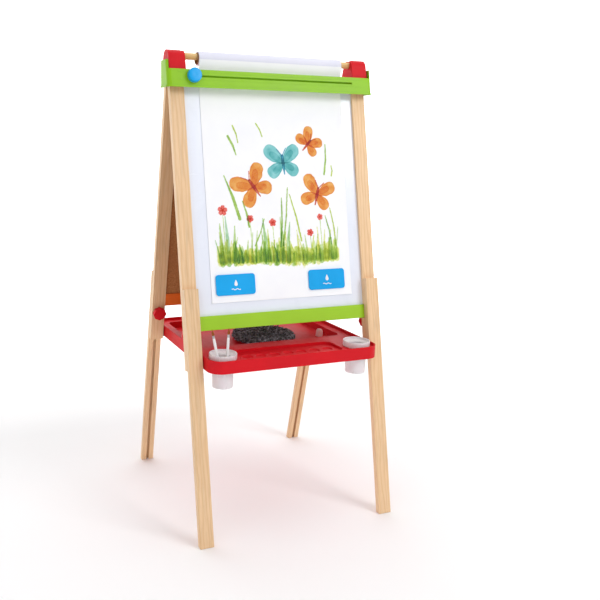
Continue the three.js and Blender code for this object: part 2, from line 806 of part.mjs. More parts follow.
// A brush stands in its cup with its bristles up.
function buildBrush({ name, footX, topX }) {
  const brush = new THREE.Group();
  const foot = cupWall + brushFloorGap - cupDepth;
  const radius = brushDiameter / 2;
  const length = Math.hypot(topX - footX, brushRise - foot);
  const handle = length - bristleLength;
  brush.position.set(footX, 0, foot);
  brush.rotation.y = Math.atan2(topX - footX, brushRise - foot);
  brush.add(
    piece(
      name + "_handle",
      turned(
        [
          [0, 0],
          [radius - brushEdge, 0],
          [radius, brushEdge],
          [radius, handle],
          [0, handle],
        ],
        16,
      ),
      finishes.brushWhite,
    ),
    piece(
      name + "_bristles",
      turned(
        [
          [0, handle + fitGap],
          [radius - fitGap, handle + fitGap],
          [radius, handle + bristleLength / 3],
          [radius / 2, length - bristlePoint],
          [0, length],
        ],
        16,
      ),
      finishes.bristle,
    ),
  );
  return brush;
}

function duster() {
  const radius = dusterDiameter / 2;
  const shoulder = dusterThickness - dusterDome;
  return turned([
    [0, 0],
    [radius - dusterEdge, 0],
    [radius, shoulder / 3],
    [radius, (2 * shoulder) / 3],
    [radius - dusterEdge, shoulder + dusterDome / 3],
    [radius / 2, dusterThickness - dusterDome / 6],
    [0, dusterThickness],
  ]);
}

// A steel angle on a stile's inner side, which the tray stands on.
function trayLedge(sideways, forward) {
  const high = trayBottom - fitGap;
  const low = high - ledgeThickness;
  const outer = stileInner - fitGap;
  const towards = (apexHeight - trayBottom) * Math.tan(lean) + stileThickness / 2 / Math.cos(lean);
  const along = [forward * towards - ledgeLength / 2, forward * towards + ledgeLength / 2];
  return join(
    box(sided(sideways, outer - ledgeThickness, outer), along, [low, low + ledgeHeight]),
    box(sided(sideways, outer - ledgeReach, outer), along, [low, high]),
  );
}

function buildTray() {
  const shelf = new THREE.Group();
  shelf.add(piece("tray", tray(), finishes.red));
  for (const sign of [-1, 1]) {
    const hand = sign < 0 ? "left" : "right";
    const cup = new THREE.Group();
    cup.position.set(sign * cupX, cupY, deckHeight);
    cup.add(
      piece(hand + "_cup", cupBody(), finishes.clear),
      piece(hand + "_cup_lid", cupLid(), finishes.clear),
    );
    if (sign < 0) cup.add(...brushes.map(buildBrush));
    shelf.add(cup);
  }
  const restHeight = basinFloor + fitGap;
  const pad = piece("duster_pad", duster(), finishes.dusterPile);
  pad.position.set(dusterX, basinFrontY + dusterFromBasin, restHeight);
  const chalkRadius = chalkDiameter / 2;
  const stub = new THREE.CylinderGeometry(chalkRadius - chalkTaper, chalkRadius, chalkHeight, 24);
  stub.rotateX(Math.PI / 2).translate(0, 0, chalkHeight / 2);
  const chalk = piece("chalk_stub", stub, finishes.chalk);
  chalk.position.set(chalkX, basinFrontY + chalkFromBasin, restHeight);
  shelf.add(pad, chalk);
  return shelf;
}

// ---------- the easel ----------
const easel = new THREE.Group();
const frontFrame = buildFrame("front");
frontFrame.add(
  piece("paper_sheet", paperSheet(), finishes.paper),
  piece("left_magnet", magnet(-1), finishes.blue),
  piece("right_magnet", magnet(1), finishes.blue),
  piece("cutter_carriage", cutterCarriage(), finishes.green),
  piece("cutter_knob", cutterKnob(), finishes.blue),
  piece("cutter_blade", cutterBlade(), finishes.steel),
);
const rearHalf = new THREE.Group();
rearHalf.rotation.z = Math.PI;
rearHalf.add(buildFrame("rear"));
easel.add(frontFrame, rearHalf, buildTop(), buildTray());
for (const forward of [-1, 1])
  for (const sideways of [-1, 1]) {
    const name = (forward < 0 ? "front_" : "rear_") + (sideways < 0 ? "left" : "right") + "_tray_ledge";
    easel.add(piece(name, trayLedge(sideways, forward), finishes.steel));
  }

export default easel;
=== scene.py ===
# The looks of a child's double-sided easel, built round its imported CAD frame. Metres, +Z up, front
# towards -Y. Local front axes: X across, Y out of the front frame's inner face, Z up along the stiles.
import bpy
import bmesh
import json
import math
import random
import numpy as np
from mathutils import Matrix, Vector


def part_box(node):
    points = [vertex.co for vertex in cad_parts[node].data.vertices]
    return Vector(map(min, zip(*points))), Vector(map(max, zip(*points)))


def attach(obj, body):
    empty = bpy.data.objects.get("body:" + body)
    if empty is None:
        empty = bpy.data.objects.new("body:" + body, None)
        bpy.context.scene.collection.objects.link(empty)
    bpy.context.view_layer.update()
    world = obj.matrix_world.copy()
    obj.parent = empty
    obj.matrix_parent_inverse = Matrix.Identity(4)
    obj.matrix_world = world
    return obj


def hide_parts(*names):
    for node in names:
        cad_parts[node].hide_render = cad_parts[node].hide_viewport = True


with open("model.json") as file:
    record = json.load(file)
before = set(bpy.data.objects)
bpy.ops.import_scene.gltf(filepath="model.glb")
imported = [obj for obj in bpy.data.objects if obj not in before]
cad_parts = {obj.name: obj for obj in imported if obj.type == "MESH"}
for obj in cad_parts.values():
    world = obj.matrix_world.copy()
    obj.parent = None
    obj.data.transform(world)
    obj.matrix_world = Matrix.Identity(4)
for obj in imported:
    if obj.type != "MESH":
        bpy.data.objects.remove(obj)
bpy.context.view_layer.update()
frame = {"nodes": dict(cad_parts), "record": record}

LEAN = math.radians(12)
APEX = 1.0105
MM = 0.001
FRONT = Matrix.Translation((0, 0, APEX)) @ Matrix.Rotation(-LEAN, 4, "X")
TO_FRONT = FRONT.inverted()


# ---------- shader building ----------
class Look:
    """One Principled material and the nodes that feed it. Noise lies in object space, in metres."""

    def __init__(self, name, **fixed):
        self.made = bpy.data.materials.new(name)
        self.made.use_nodes = True
        self.tree = self.made.node_tree
        self.shader = self.tree.nodes["Principled BSDF"]
        for socket, value in fixed.items():
            self.shader.inputs[socket.replace("_", " ")].default_value = value
        self.origin = self.tree.nodes.new("ShaderNodeTexCoord")

    def node(self, kind, inputs=(), **settings):
        made = self.tree.nodes.new("ShaderNode" + kind)
        for key, value in settings.items():
            setattr(made, key, value)
        for key, value in dict(inputs).items():
            if isinstance(value, bpy.types.NodeSocket):
                self.tree.links.new(value, made.inputs[key])
            else:
                made.inputs[key].default_value = value
        return made

    def place(self, scale=(1, 1, 1), turn=0.0, move=(0, 0, 0)):
        """Object coordinates turned about X, moved, then stretched."""
        turned = self.node("Mapping", {"Vector": self.origin.outputs["Object"], "Rotation": (turn, 0, 0),
                                       "Location": move})
        return self.node("Mapping", {"Vector": turned.outputs[0], "Scale": scale}).outputs[0]

    def noise(self, where, scale, detail=3.0, roughness=0.5, distortion=0.0):
        made = self.node("TexNoise", {"Vector": where, "Scale": scale, "Detail": detail,
                                      "Roughness": roughness, "Distortion": distortion})
        return made.outputs["Fac"]

    def ramp(self, value, stops):
        made = self.node("ValToRGB", {"Fac": value})
        band = made.color_ramp
        while len(band.elements) < len(stops):
            band.elements.new(0.5)
        for element, (at, colour) in zip(band.elements, stops):
            element.position = at
            element.color = (*colour, 1) if len(colour) == 3 else colour
        return made.outputs["Color"]

    def spread(self, value, low, high, to_low=0.0, to_high=1.0):
        made = self.node("MapRange", {"Value": value, "From Min": low, "From Max": high, "To Min": to_low,
                                      "To Max": to_high})
        return made.outputs["Result"]

    def sum(self, a, b, operation="ADD"):
        made = self.node("Math", {0: a, 1: b}, operation=operation)
        return made.outputs[0]

    def mix(self, share, a, b, blend="MIX"):
        made = self.node("Mix", data_type="RGBA", blend_type=blend)
        sockets = {"Factor": made.inputs[0], "A": made.inputs[6], "B": made.inputs[7]}
        for key, value in {"Factor": share, "A": a, "B": b}.items():
            if isinstance(value, bpy.types.NodeSocket):
                self.tree.links.new(value, sockets[key])
            else:
                sockets[key].default_value = (*value, 1) if key != "Factor" and len(value) == 3 else value
        return made.outputs[2]

    def bump(self, height, distance, strength=1.0, over=None):
        inputs = {"Height": height, "Distance": distance, "Strength": strength}
        if over is not None:
            inputs["Normal"] = over
        return self.node("Bump", inputs).outputs["Normal"]

    def finish(self, **links):
        for socket, value in links.items():
            self.tree.links.new(value, self.shader.inputs[socket.replace("_", " ")])
        return self.made


# An sRGB colour in 0 to 255, as linear shares.
def rgb(r, g, b):
    return tuple(c / 255 / 12.92 if c <= 10 else ((c / 255 + 0.055) / 1.055) ** 2.4 for c in (r, g, b))


def shade(colour, share):
    return tuple(min(1.0, c * share) for c in colour)


def timber_look(name, tone, turn, seed, along="Z", gloss=0.48):
    """Straight-grained pine: soft growth bands, fine fibre and short dark pores along one axis."""
    look = Look(name, Roughness=gloss, Specular_IOR_Level=0.4, Coat_Weight=0.12, Coat_Roughness=0.35)
    stretch = {"Z": (1, 1, 0.035), "X": (0.035, 1, 1)}[along]
    slow = {"Z": (1, 1, 0.12), "X": (0.12, 1, 1)}[along]
    move = (0.37 * seed, 0.61 * seed, 0.23 * seed)
    bands = look.noise(look.place(slow, turn, move), 62, 2.0, 0.5, 1.6)
    fibre = look.noise(look.place(stretch, turn, move), 620, 4.0, 0.62)
    pores = look.noise(look.place(stretch, turn, move), 1700, 2.0, 0.5)
    blotch = look.noise(look.place((1, 1, 1), turn, move), 9, 2.0)
    wave = look.node("TexWave", {"Vector": look.place(slow, turn, move), "Scale": 38, "Distortion": 7,
                                 "Detail": 2, "Detail Scale": 1.4, "Detail Roughness": 0.55},
                     bands_direction="X" if along == "Z" else "Y").outputs["Fac"]
    early = look.ramp(bands, [(0.3, shade(tone, 1.06)), (0.52, tone), (0.72, shade(tone, 0.86))])
    late = look.mix(look.spread(wave, 0.55, 1.0, 0.0, 0.42), early,
                    (tone[0] * 0.80, tone[1] * 0.66, tone[2] * 0.50))
    fine = look.mix(look.spread(fibre, 0.42, 0.72, 0.0, 0.38), late,
                    (tone[0] * 0.82, tone[1] * 0.70, tone[2] * 0.55))
    warm = look.mix(look.spread(blotch, 0.35, 0.75, 0.0, 0.28), fine,
                    (tone[0], tone[1] * 0.9, tone[2] * 0.78))
    dark = look.mix(look.spread(pores, 0.66, 0.78, 0.0, 0.35), warm, shade(tone, 0.5))
    height = look.sum(fibre, look.sum(pores, 0.5, "MULTIPLY"), "SUBTRACT")
    rough = look.spread(fibre, 0.3, 0.7, gloss - 0.06, gloss + 0.1)
    return look.finish(Base_Color=dark, Roughness=rough, Normal=look.bump(height, 0.00012, 0.55))


def paint_look(name, colour, turn, gloss=0.4):
    """Satin paint on wood: the grain just telegraphs through, with worn, slightly lighter places."""
    look = Look(name, Specular_IOR_Level=0.45, Coat_Weight=0.15, Coat_Roughness=0.3)
    grain = look.noise(look.place((0.04, 1, 1), turn), 520, 4.0, 0.6)
    cloud = look.noise(look.place((1, 1, 1), turn), 14, 3.0)
    orange_peel = look.noise(look.place((1, 1, 1), turn), 900, 2.0)
    base = look.mix(look.spread(cloud, 0.3, 0.7, 0.0, 0.5), shade(colour, 0.95), shade(colour, 1.06))
    toned = look.mix(look.spread(grain, 0.5, 0.75, 0.0, 0.22), base, shade(colour, 0.8))
    rough = look.spread(cloud, 0.3, 0.7, gloss - 0.06, gloss + 0.08)
    lumps = look.bump(orange_peel, 0.00006, 0.5)
    return look.finish(Base_Color=toned, Roughness=rough, Normal=look.bump(grain, 0.00012, 0.5, lumps))


def plastic_look(name, colour, gloss=0.3, scuffs=0.1, shine=0.32):
    """Moulded plastic: a faint flow pattern in the colour, fine texture, hairline scuffs in the gloss."""
    look = Look(name, Specular_IOR_Level=shine)
    flow = look.noise(look.place(), 7, 4.0, 0.55, 1.2)
    fine = look.noise(look.place(), 1400, 2.0)
    smear = look.noise(look.place((1, 0.2, 1)), 90, 3.0, 0.6)
    base = look.mix(look.spread(flow, 0.3, 0.7), shade(colour, 0.93), shade(colour, 1.05))
    speck = look.mix(look.spread(fine, 0.62, 0.85, 0.0, 0.16), base, shade(colour, 1.35))
    rough = look.sum(look.spread(smear, 0.5, 0.8, 0.0, scuffs),
                     look.spread(flow, 0.2, 0.8, gloss - 0.05, gloss + 0.05))
    return look.finish(Base_Color=speck, Roughness=rough, Normal=look.bump(fine, 0.00003, 0.5))


def steel_look():
    look = Look("zinc_steel", Metallic=1.0)
    brushed = look.noise(look.place((1, 1, 0.05)), 900, 3.0, 0.6)
    spangle = look.noise(look.place(), 120, 2.0)
    base = look.mix(look.spread(spangle, 0.3, 0.7), rgb(170, 172, 176), rgb(205, 206, 210))
    return look.finish(Base_Color=base, Roughness=look.spread(brushed, 0.3, 0.7, 0.28, 0.5),
                       Normal=look.bump(brushed, 0.00003, 0.5))


def whiteboard_look():
    """White enamel with the faint haze of wiped-off marker."""
    look = Look("whiteboard_enamel", Specular_IOR_Level=0.5, Coat_Weight=0.4, Coat_Roughness=0.12)
    haze = look.noise(look.place((1, 1, 0.45), LEAN), 11, 5.0, 0.6, 1.4)
    swipe = look.noise(look.place((0.12, 1, 1), LEAN), 70, 4.0, 0.65, 0.4)
    clean = look.mix(look.spread(haze, 0.48, 0.75, 0.0, 0.6), rgb(235, 239, 251), rgb(225, 230, 243))
    wiped = look.mix(look.spread(swipe, 0.58, 0.8, 0.0, 0.5), clean, rgb(226, 230, 241))
    back = look.mix(look.noise(look.place(), 420, 4.0, 0.7), rgb(196, 150, 100), rgb(150, 104, 62))
    facing = look.node("SeparateXYZ", {"Vector": look.origin.outputs["Normal"]}).outputs["Y"]
    base = look.mix(look.sum(facing, 0.3, "GREATER_THAN"), wiped, back)
    return look.finish(Base_Color=base, Roughness=look.spread(swipe, 0.4, 0.8, 0.14, 0.34),
                       Normal=look.bump(haze, 0.0001, 0.15))


def chalkboard_look():
    """Matt slate paint with wiped chalk dust outside, brown hardboard inside."""
    look = Look("slate_paint", Specular_IOR_Level=0.3)
    cloud = look.noise(look.place((1, 1, 1), -LEAN), 5.5, 6.0, 0.62, 1.6)
    wipe = look.noise(look.place((0.16, 1, 1.0), -LEAN, (0.4, 0.2, 0.1)), 34, 5.0, 0.7, 1.1)
    grit = look.noise(look.place(), 1500, 2.0, 0.7)
    slate = look.mix(look.spread(cloud, 0.3, 0.75), rgb(27, 31, 31), rgb(44, 49, 48))
    dusty = look.mix(look.spread(wipe, 0.5, 0.82, 0.0, 0.42), slate, rgb(132, 138, 136))
    specks = look.spread(look.sum(cloud, grit, "MULTIPLY"), 0.26, 0.5, 0.0, 0.3)
    dust = look.mix(specks, dusty, rgb(150, 155, 152))
    fibre = look.noise(look.place(), 330, 5.0, 0.75)
    browns = [(0.3, rgb(140, 88, 48)), (0.55, rgb(180, 122, 74)), (0.75, rgb(205, 152, 102))]
    board = look.ramp(fibre, browns)
    facing = look.node("SeparateXYZ", {"Vector": look.origin.outputs["Normal"]}).outputs["Y"]
    base = look.mix(look.sum(facing, 0.3, "GREATER_THAN"), board, dust)
    return look.finish(Base_Color=base, Roughness=look.spread(wipe, 0.3, 0.8, 0.75, 0.92),
                       Normal=look.bump(grit, 0.00012, 0.5))


def paper_look(name, painted, dark=rgb(247, 247, 252), light=rgb(252, 252, 254)):
    """Uncoated drawing paper with a soft tooth; the painted sheet takes its colour from the mesh."""
    look = Look(name, Specular_IOR_Level=0.25, Roughness=0.8, Sheen_Weight=0.05)
    tooth = look.noise(look.place(), 1300, 4.0, 0.7)
    cloud = look.noise(look.place(), 16, 3.0)
    white = look.mix(look.spread(cloud, 0.3, 0.7), dark, light)
    flecked = look.mix(look.spread(tooth, 0.6, 0.85, 0.0, 0.1), white, rgb(226, 226, 232))
    if painted:
        ink = look.node("Attribute", attribute_name="pigment").outputs["Color"]
        grains = look.mix(look.spread(tooth, 0.45, 0.75, 0.0, 0.16), ink, (1, 1, 1))
        flecked = look.mix(1.0, flecked, grains, "MULTIPLY")
    return look.finish(Base_Color=flecked, Normal=look.bump(tooth, 0.00006, 0.6))


def card_look():
    look = Look("wound_card", Specular_IOR_Level=0.2, Roughness=0.85)
    fibre = look.noise(look.place((0.3, 1, 1)), 700, 5.0, 0.7)
    wound = look.node("TexWave", {"Vector": look.place((1, 0.35, 0.35)), "Scale": 30, "Distortion": 0.6},
                      bands_direction="DIAGONAL").outputs["Fac"]
    base = look.ramp(fibre, [(0.3, rgb(120, 84, 50)), (0.55, rgb(158, 116, 74)), (0.8, rgb(186, 146, 102))])
    seam = look.mix(look.spread(wound, 0.93, 1.0, 0.0, 0.55), base, rgb(92, 62, 38))
    return look.finish(Base_Color=seam, Normal=look.bump(fibre, 0.00012, 0.5))


def clear_look():
    """Frosted polypropylene: mostly lets light through, greyer where thick."""
    look = Look("frosted_clear", IOR=1.46, Transmission_Weight=0.3, Specular_IOR_Level=0.5)
    cloud = look.noise(look.place(), 60, 3.0)
    streak = look.noise(look.place((1, 1, 0.1)), 420, 3.0, 0.6)
    # The faint pink in these whites is painted light: the red of the tray showing through the cups.
    base = look.mix(look.spread(cloud, 0.3, 0.7), rgb(255, 245, 249), rgb(255, 251, 253))
    return look.finish(Base_Color=base, Roughness=look.spread(streak, 0.3, 0.7, 0.26, 0.4),
                       Normal=look.bump(streak, 0.00003, 0.3))


def strand_look(name, dark, light, scale, gloss=0.7, **fixed):
    look = Look(name, Roughness=gloss, Specular_IOR_Level=0.3, **fixed)
    tuft = look.noise(look.place(), scale, 2.0)
    fine = look.noise(look.place(), scale * 7, 3.0, 0.7)
    between = tuple(0.7 * a + 0.3 * b for a, b in zip(dark, light))
    base = look.ramp(look.sum(look.sum(tuft, 0.65, "MULTIPLY"), look.sum(fine, 0.35, "MULTIPLY")),
                     [(0.42, dark), (0.53, between), (0.66, light)])
    return look.finish(Base_Color=base, Normal=look.bump(fine, 0.0003, 0.7))


def chalk_look():
    look = Look("pressed_chalk", Roughness=0.95, Specular_IOR_Level=0.1)
    dust = look.noise(look.place(), 900, 5.0, 0.8)
    worn = look.noise(look.place(), 140, 3.0)
    base = look.mix(look.spread(worn, 0.35, 0.65), rgb(255, 188, 198), rgb(255, 212, 218))
    pale = look.mix(look.spread(dust, 0.5, 0.8, 0.0, 0.7), base, rgb(255, 240, 242))
    return look.finish(Base_Color=pale, Normal=look.bump(dust, 0.0004, 0.6))


GREEN = rgb(142, 196, 16)
RED = rgb(212, 16, 30)
BLUE = rgb(0, 164, 234)
PINE = rgb(236, 201, 160)

LOOKS = {
    "green_paint": paint_look("green_paint", rgb(158, 206, 24), LEAN),
    "orange_paint": paint_look("orange_paint", rgb(234, 112, 38), -LEAN),
    "green_plastic": plastic_look("green_plastic", GREEN, 0.42),
    "red_plastic": plastic_look("red_plastic", RED, 0.5, 0.1, 0.18),
    "blue_plastic": plastic_look("blue_plastic", BLUE, 0.3),
    "white_plastic": plastic_look("white_plastic", rgb(246, 243, 244), 0.28, 0.15),
    "steel": steel_look(),
    "white_enamel": whiteboard_look(),
    "slate_paint": chalkboard_look(),
    "paper": paper_look("drawing_paper", False),
    "card": card_look(),
    "clear_plastic": clear_look(),
    "dowel_wood": timber_look("dowel_beech", rgb(232, 196, 136), 0, 3, "X", 0.42),
    "bristle": strand_look("bristle_fibre", rgb(150, 70, 22), rgb(232, 140, 62), 900, 0.5),
    # The duster's pale strands, mixed at random into the dark pile, are painted highlight: they stand in for
    # the sheen on the chenille.
    "duster_pile": strand_look("duster_chenille", rgb(16, 16, 24), rgb(214, 214, 236), 150, 0.75,
                               Sheen_Weight=0.3),
    "chalk": chalk_look(),
}
PAINTED = paper_look("painted_paper", True)
# The roll's paper is the sheet's paper in darker, lavender tones: painted shade on the roll's curve.
ROLL_PAPER_SHADED = paper_look("roll_paper_painted_shade", False, rgb(226, 226, 240), rgb(232, 231, 245))
TIMBERS = {}
for seed, node in enumerate(sorted(frame["nodes"])):
    if node.endswith(("_stile", "_leg")):
        turn = LEAN if node.startswith("front") else -LEAN
        tone = shade(PINE, 0.97 + 0.05 * ((seed * 5) % 4) / 3)
        TIMBERS[node] = timber_look("pine_" + node, tone, turn, seed + 1)
TIMBERS["front_top_rail"] = timber_look("pine_front_top_rail", PINE, LEAN, 31, "X")

SLOTS = {row["node"]: row["material_slot"] for row in frame["record"]["subparts"]}


# ---------- CAD nodes that stay: softened edges and their own finish ----------
def soften(node, width, segments=3, limit=38):
    """Rounds a CAD node's edges with modifiers; its own mesh stays as it is."""
    held = frame["nodes"][node]
    held.data.polygons.foreach_set("use_smooth", [True] * len(held.data.polygons))
    weld = held.modifiers.new("weld", "WELD")
    weld.merge_threshold = 2e-5
    flat = held.modifiers.new("flat", "DECIMATE")
    flat.decimate_type = "DISSOLVE"
    flat.angle_limit = math.radians(0.6)
    edge = held.modifiers.new("edge", "BEVEL")
    edge.width = width
    edge.segments = segments
    edge.limit_method = "ANGLE"
    edge.angle_limit = math.radians(limit)
    edge.miter_outer = "MITER_ARC"
    edge.harden_normals = False
    even = held.modifiers.new("even", "WEIGHTED_NORMAL")
    even.keep_sharp = False
    even.weight = 80


# The rounding of each node's edges, by the ending of its name.
EDGES = [("_stile", 0.0011), ("_leg", 0.0009), ("_bottom_rail", 0.0009), ("_top_rail", 0.0008),
         ("whiteboard", 0.0004), ("chalkboard", 0.0004), ("cutter_header", 0.0009),
         ("_hinge_bracket", 0.0011), ("_hinge_pin", 0.0004), ("_clamp_bolt", 0.0004),
         ("_guide_pin", 0.0005), ("_tray_ledge", 0.0003), ("_clamp_knob", 0.0009), ("_magnet", 0.0007),
         ("cutter_carriage", 0.0005), ("cutter_blade", 0.0001), ("tray", 0.0011)]
for node in sorted(frame["nodes"]):
    held = frame["nodes"][node]
    held.data.materials.clear()
    held.data.materials.append(TIMBERS.get(node) or LOOKS[SLOTS[node]])
    for ending, width in EDGES:
        if node.endswith(ending):
            soften(node, width)
            break


# ---------- pieces built here ----------
def add_piece(name, mesh, body, look, node=None, smooth=32):
    if smooth:
        mesh.polygons.foreach_set("use_smooth", [True] * len(mesh.polygons))
        mesh.set_sharp_from_angle(angle=math.radians(smooth))
    made = bpy.data.objects.new(name, mesh)
    bpy.context.scene.collection.objects.link(made)
    mesh.materials.append(look)
    if node:
        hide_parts(node)
    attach(made, body)
    return made


def mesh_from(name, points, faces):
    mesh = bpy.data.meshes.new(name)
    mesh.from_pydata([tuple(p) for p in points], [], faces)
    mesh.validate()
    mesh.update()
    return mesh


def frame_along(axis):
    """Two unit directions across an axis."""
    axis = Vector(axis).normalized()
    side = axis.orthogonal().normalized()
    return axis, side, axis.cross(side)


def lathe(name, profile, centre, axis, sides=64, wobble=None):
    """A turned mesh from [radius, height] points; a radius of 0 closes it at a point."""
    axis, side, other = frame_along(axis)
    points, rings = [], []
    for radius, height in profile:
        if radius == 0:
            rings.append([len(points)])
            points.append(Vector(centre) + axis * height)
            continue
        ring = []
        for i in range(sides):
            turn = 2 * math.pi * i / sides
            reach = radius + (wobble(turn, height) if wobble else 0)
            ring.append(len(points))
            points.append(Vector(centre) + axis * height
                          + side * (reach * math.cos(turn)) + other * (reach * math.sin(turn)))
        rings.append(ring)
    faces = []
    for low, high in zip(rings, rings[1:]):
        for i in range(sides):
            j = (i + 1) % sides
            a, b = low[i % len(low)], low[j % len(low)]
            c, d = high[j % len(high)], high[i % len(high)]
            face = [a, b, c, d]
            if len(low) == 1:
                face = [a, c, d]
            if len(high) == 1:
                face = [a, b, c]
            faces.append(face)
    return mesh_from(name, points, faces)


def rounded(corners, radius, steps=3):
    """A profile with its corners rounded; corners are (r, z), or (r, z, own radius)."""
    out = []
    for i, corner in enumerate(corners):
        here = Vector(corner[:2])
        own = corner[2] if len(corner) > 2 else radius
        if i in (0, len(corners) - 1) or own == 0:
            out.append(tuple(here))
            continue
        before, after = Vector(corners[i - 1][:2]) - here, Vector(corners[i + 1][:2]) - here
        reach = min(own, 0.45 * before.length, 0.45 * after.length)
        first, last = here + before.normalized() * reach, here + after.normalized() * reach
        for k in range(steps + 1):
            t = k / steps
            out.append(tuple(first * (1 - t) ** 2 + here * 2 * t * (1 - t) + last * t ** 2))
    return out


# Paper roll, card core and dowel
def middle(node):
    low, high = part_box(node)
    return (low + high) / 2, high - low


roll_mid, roll_size = middle("paper_roll")
core_mid, core_size = middle("roll_core")
dowel_mid, dowel_size = middle("roll_dowel")
ROLL_R, CORE_R, CORE_BORE, DOWEL_R = roll_size.z / 2, core_size.z / 2, 0.011, dowel_size.z / 2


def paper_roll():
    half = roll_size.x / 2
    inner = CORE_R + 0.0003
    layers = 7
    end = []
    for k in range(layers + 1):
        radius = inner + (ROLL_R - inner) * k / layers
        end.append((radius, half - 0.0002 - (0.0004 if k % 2 else 0.0)))
    outline = [(inner, -half + 0.0004)] + [(r, -z) for r, z in end[1:-1]]
    outline += [(ROLL_R, -half + 0.0005), (ROLL_R, -half / 3), (ROLL_R, half / 3), (ROLL_R, half - 0.0005)]
    outline += end[1:-1][::-1] + [(inner, half - 0.0004), (inner, -half + 0.0004)]
    return lathe("paper_roll_wound", outline, roll_mid, (1, 0, 0), 72)


def roll_core():
    half = core_size.x / 2
    outline = rounded([(CORE_BORE, -half + 0.0002), (CORE_BORE, -half), (CORE_R, -half), (CORE_R, half),
                       (CORE_BORE, half), (CORE_BORE, -half + 0.0002)], 0.0003, 2)
    return lathe("roll_core_card", outline, core_mid, (1, 0, 0), 64)


def roll_dowel():
    half = dowel_size.x / 2
    outline = rounded([(0, -half), (DOWEL_R, -half), (DOWEL_R, half), (0, half)], 0.001)
    return lathe("roll_dowel_beech", outline, dowel_mid, (1, 0, 0), 56)


add_piece("paper_roll_wound", paper_roll(), "paper_roll", ROLL_PAPER_SHADED, "paper_roll")
add_piece("roll_core_card", roll_core(), "paper_roll", LOOKS["card"], "roll_core")
add_piece("roll_dowel_beech", roll_dowel(), "front_frame", LOOKS["dowel_wood"], "roll_dowel")


# ---------- the painted sheet ----------
SHEET_W = 358.0  # millimetres
SHEET_STEP = 1.0  # millimetres between the sheet's points where it is painted


def smooth_noise(shape, cells, seed):
    """Soft random field from 0 to 1, by cubic blending of a coarse random grid."""
    source = np.random.default_rng(seed).random((cells[0] + 2, cells[1] + 2))
    y = np.linspace(0, cells[0], shape[0], endpoint=False)
    x = np.linspace(0, cells[1], shape[1], endpoint=False)
    yi, xi = y.astype(int), x.astype(int)
    fy, fx = (y - yi)[:, None], (x - xi)[None, :]
    fy, fx = fy * fy * (3 - 2 * fy), fx * fx * (3 - 2 * fx)
    a, b = source[np.ix_(yi, xi)], source[np.ix_(yi, xi + 1)]
    c, d = source[np.ix_(yi + 1, xi)], source[np.ix_(yi + 1, xi + 1)]
    return (a * (1 - fx) + b * fx) * (1 - fy) + (c * (1 - fx) + d * fx) * fy


